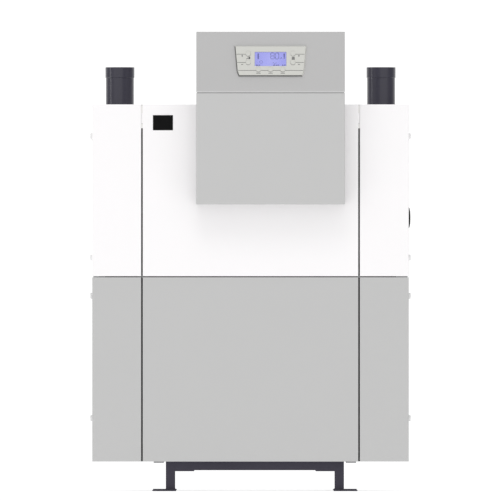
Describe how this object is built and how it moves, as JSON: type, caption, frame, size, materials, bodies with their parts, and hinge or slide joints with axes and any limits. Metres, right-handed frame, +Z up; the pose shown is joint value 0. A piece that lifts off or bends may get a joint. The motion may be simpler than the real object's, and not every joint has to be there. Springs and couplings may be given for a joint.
{
  "type": "floor-standing gas boiler",
  "caption": "Floor-standing gas boiler: white and grey sheet-metal casing on a welded stand, offset control box with display panel, flue sockets in the top.",
  "frame": {"origin": "on the floor under the middle of the casing's footprint, which is the middle of the whole boiler too", "axes": "+Z up, +X to the right seen from the front, +Y from the front to the back"},
  "size_m": [0.9126, 0.8203, 1.306],
  "materials": {
    "white_paint": "semi-gloss powder coat",
    "grey_paint": "semi-gloss powder coat",
    "box_paint": "fine satin powder coat",
    "dark_paint": "satin powder coat",
    "flue_enamel": "semi-gloss enamel",
    "galvanised": "zinc coated sheet",
    "stainless": "satin",
    "cast_aluminium": "as cast",
    "steel_pipe": "matte paint",
    "brass": "satin",
    "black_rubber": "matte",
    "bezel_plastic": "fine spark texture",
    "button_plastic": "smooth satin",
    "fan_plastic": "moulded",
    "trap_plastic": "moulded",
    "lever_red": "gloss",
    "display_clear": "clear",
    "display_parts": "backlit panel",
    "circuit_board": "soldered board"
  },
  "bodies": {
    "casing": {"stand_legs": "dark_paint", "stand_crossbeams": "dark_paint", "stand_side_beams": "dark_paint", "floor_plates": "dark_paint", "corner_gussets": "dark_paint", "base_pan": "galvanised", "pan_runners": "galvanised", "frame_posts": "galvanised", "frame_rails": "galvanised", "shelf_rails": "galvanised", "left_panel_upper": "white_paint", "left_panel_lower": "grey_paint", "right_panel_upper": "white_paint", "right_panel_lower": "grey_paint", "front_panel_upper": "white_paint", "top_cover": "white_paint", "back_panel": "galvanised", "casing_screws": "button_plastic", "cable_grommet": "black_rubber", "flue_pipe_left": "flue_enamel", "flue_pipe_right": "flue_enamel", "flue_elbows": "stainless", "socket_seals": "black_rubber", "flue_collars": "black_rubber", "exchanger_shell_left": "stainless", "exchanger_shell_right": "stainless", "burner_door_left": "cast_aluminium", "burner_door_right": "cast_aluminium", "burner_tubes": "stainless", "door_nuts": "galvanised", "exchanger_saddles": "galvanised", "fan_housing_left": "cast_aluminium", "fan_housing_right": "cast_aluminium", "fan_motors": "fan_plastic", "air_mixers": "cast_aluminium", "gas_valves": "cast_aluminium", "condensate_traps": "trap_plastic", "condensate_pipe": "trap_plastic", "supply_manifold": "steel_pipe", "return_manifold": "steel_pipe", "gas_manifold": "steel_pipe", "drain_cock": "brass", "box_shell": "galvanised", "box_fascia": "box_paint", "panel_bezel": "bezel_plastic", "display_module": "display_parts", "display_window": "display_clear", "control_board": "circuit_board"},
    "button_left_upper": {"button_left_upper": "button_plastic"},
    "button_left_lower": {"button_left_lower": "button_plastic"},
    "button_right_upper": {"button_right_upper": "button_plastic"},
    "button_right_lower": {"button_right_lower": "button_plastic"},
    "button_row_1": {"button_row_1": "button_plastic"},
    "button_row_2": {"button_row_2": "button_plastic"},
    "button_row_3": {"button_row_3": "button_plastic"},
    "impeller_left": {"fan_impeller_left": "fan_plastic"},
    "impeller_right": {"fan_impeller_right": "fan_plastic"},
    "drain_handle": {"drain_lever": "lever_red"},
    "lower_front": {"front_panel_lower": "grey_paint"},
    "control_cover": {"box_cover": "box_paint"}
  },
  "joints": [
    {"name": "button_left_upper_press", "type": "slide", "parent": "casing", "child": "button_left_upper", "axis": [0, 0.9903, -0.1392], "range_m": [0, 0.0012], "stiffness_N_per_m": 250},
    {"name": "button_left_lower_press", "type": "slide", "parent": "casing", "child": "button_left_lower", "axis": [0, 0.9903, -0.1392], "range_m": [0, 0.0012], "stiffness_N_per_m": 250},
    {"name": "button_right_upper_press", "type": "slide", "parent": "casing", "child": "button_right_upper", "axis": [0, 0.9903, -0.1392], "range_m": [0, 0.0012], "stiffness_N_per_m": 250},
    {"name": "button_right_lower_press", "type": "slide", "parent": "casing", "child": "button_right_lower", "axis": [0, 0.9903, -0.1392], "range_m": [0, 0.0012], "stiffness_N_per_m": 250},
    {"name": "button_row_1_press", "type": "slide", "parent": "casing", "child": "button_row_1", "axis": [0, 0.9903, -0.1392], "range_m": [0, 0.0012], "stiffness_N_per_m": 250},
    {"name": "button_row_2_press", "type": "slide", "parent": "casing", "child": "button_row_2", "axis": [0, 0.9903, -0.1392], "range_m": [0, 0.0012], "stiffness_N_per_m": 250},
    {"name": "button_row_3_press", "type": "slide", "parent": "casing", "child": "button_row_3", "axis": [0, 0.9903, -0.1392], "range_m": [0, 0.0012], "stiffness_N_per_m": 250},
    {"name": "impeller_left_spin", "type": "hinge", "parent": "casing", "child": "impeller_left", "pos_m": [-0.237, -0.15, 0.745], "axis": [0, 1, 0], "continuous": true},
    {"name": "impeller_right_spin", "type": "hinge", "parent": "casing", "child": "impeller_right", "pos_m": [0.237, -0.15, 0.745], "axis": [0, 1, 0], "continuous": true},
    {"name": "drain_lever_turn", "type": "hinge", "parent": "casing", "child": "drain_handle", "pos_m": [-0.1, 0.25, 0.18], "axis": [0, 1, 0], "range_deg": [0, 90]},
    {"name": "lower_front_lift_off", "type": "slide", "parent": "casing", "child": "lower_front", "axis": [0, -1, 0], "range_m": [0, 0.1]},
    {"name": "control_cover_lift_off", "type": "slide", "parent": "casing", "child": "control_cover", "axis": [0, -1, 0], "range_m": [0, 0.12]}
  ]
}
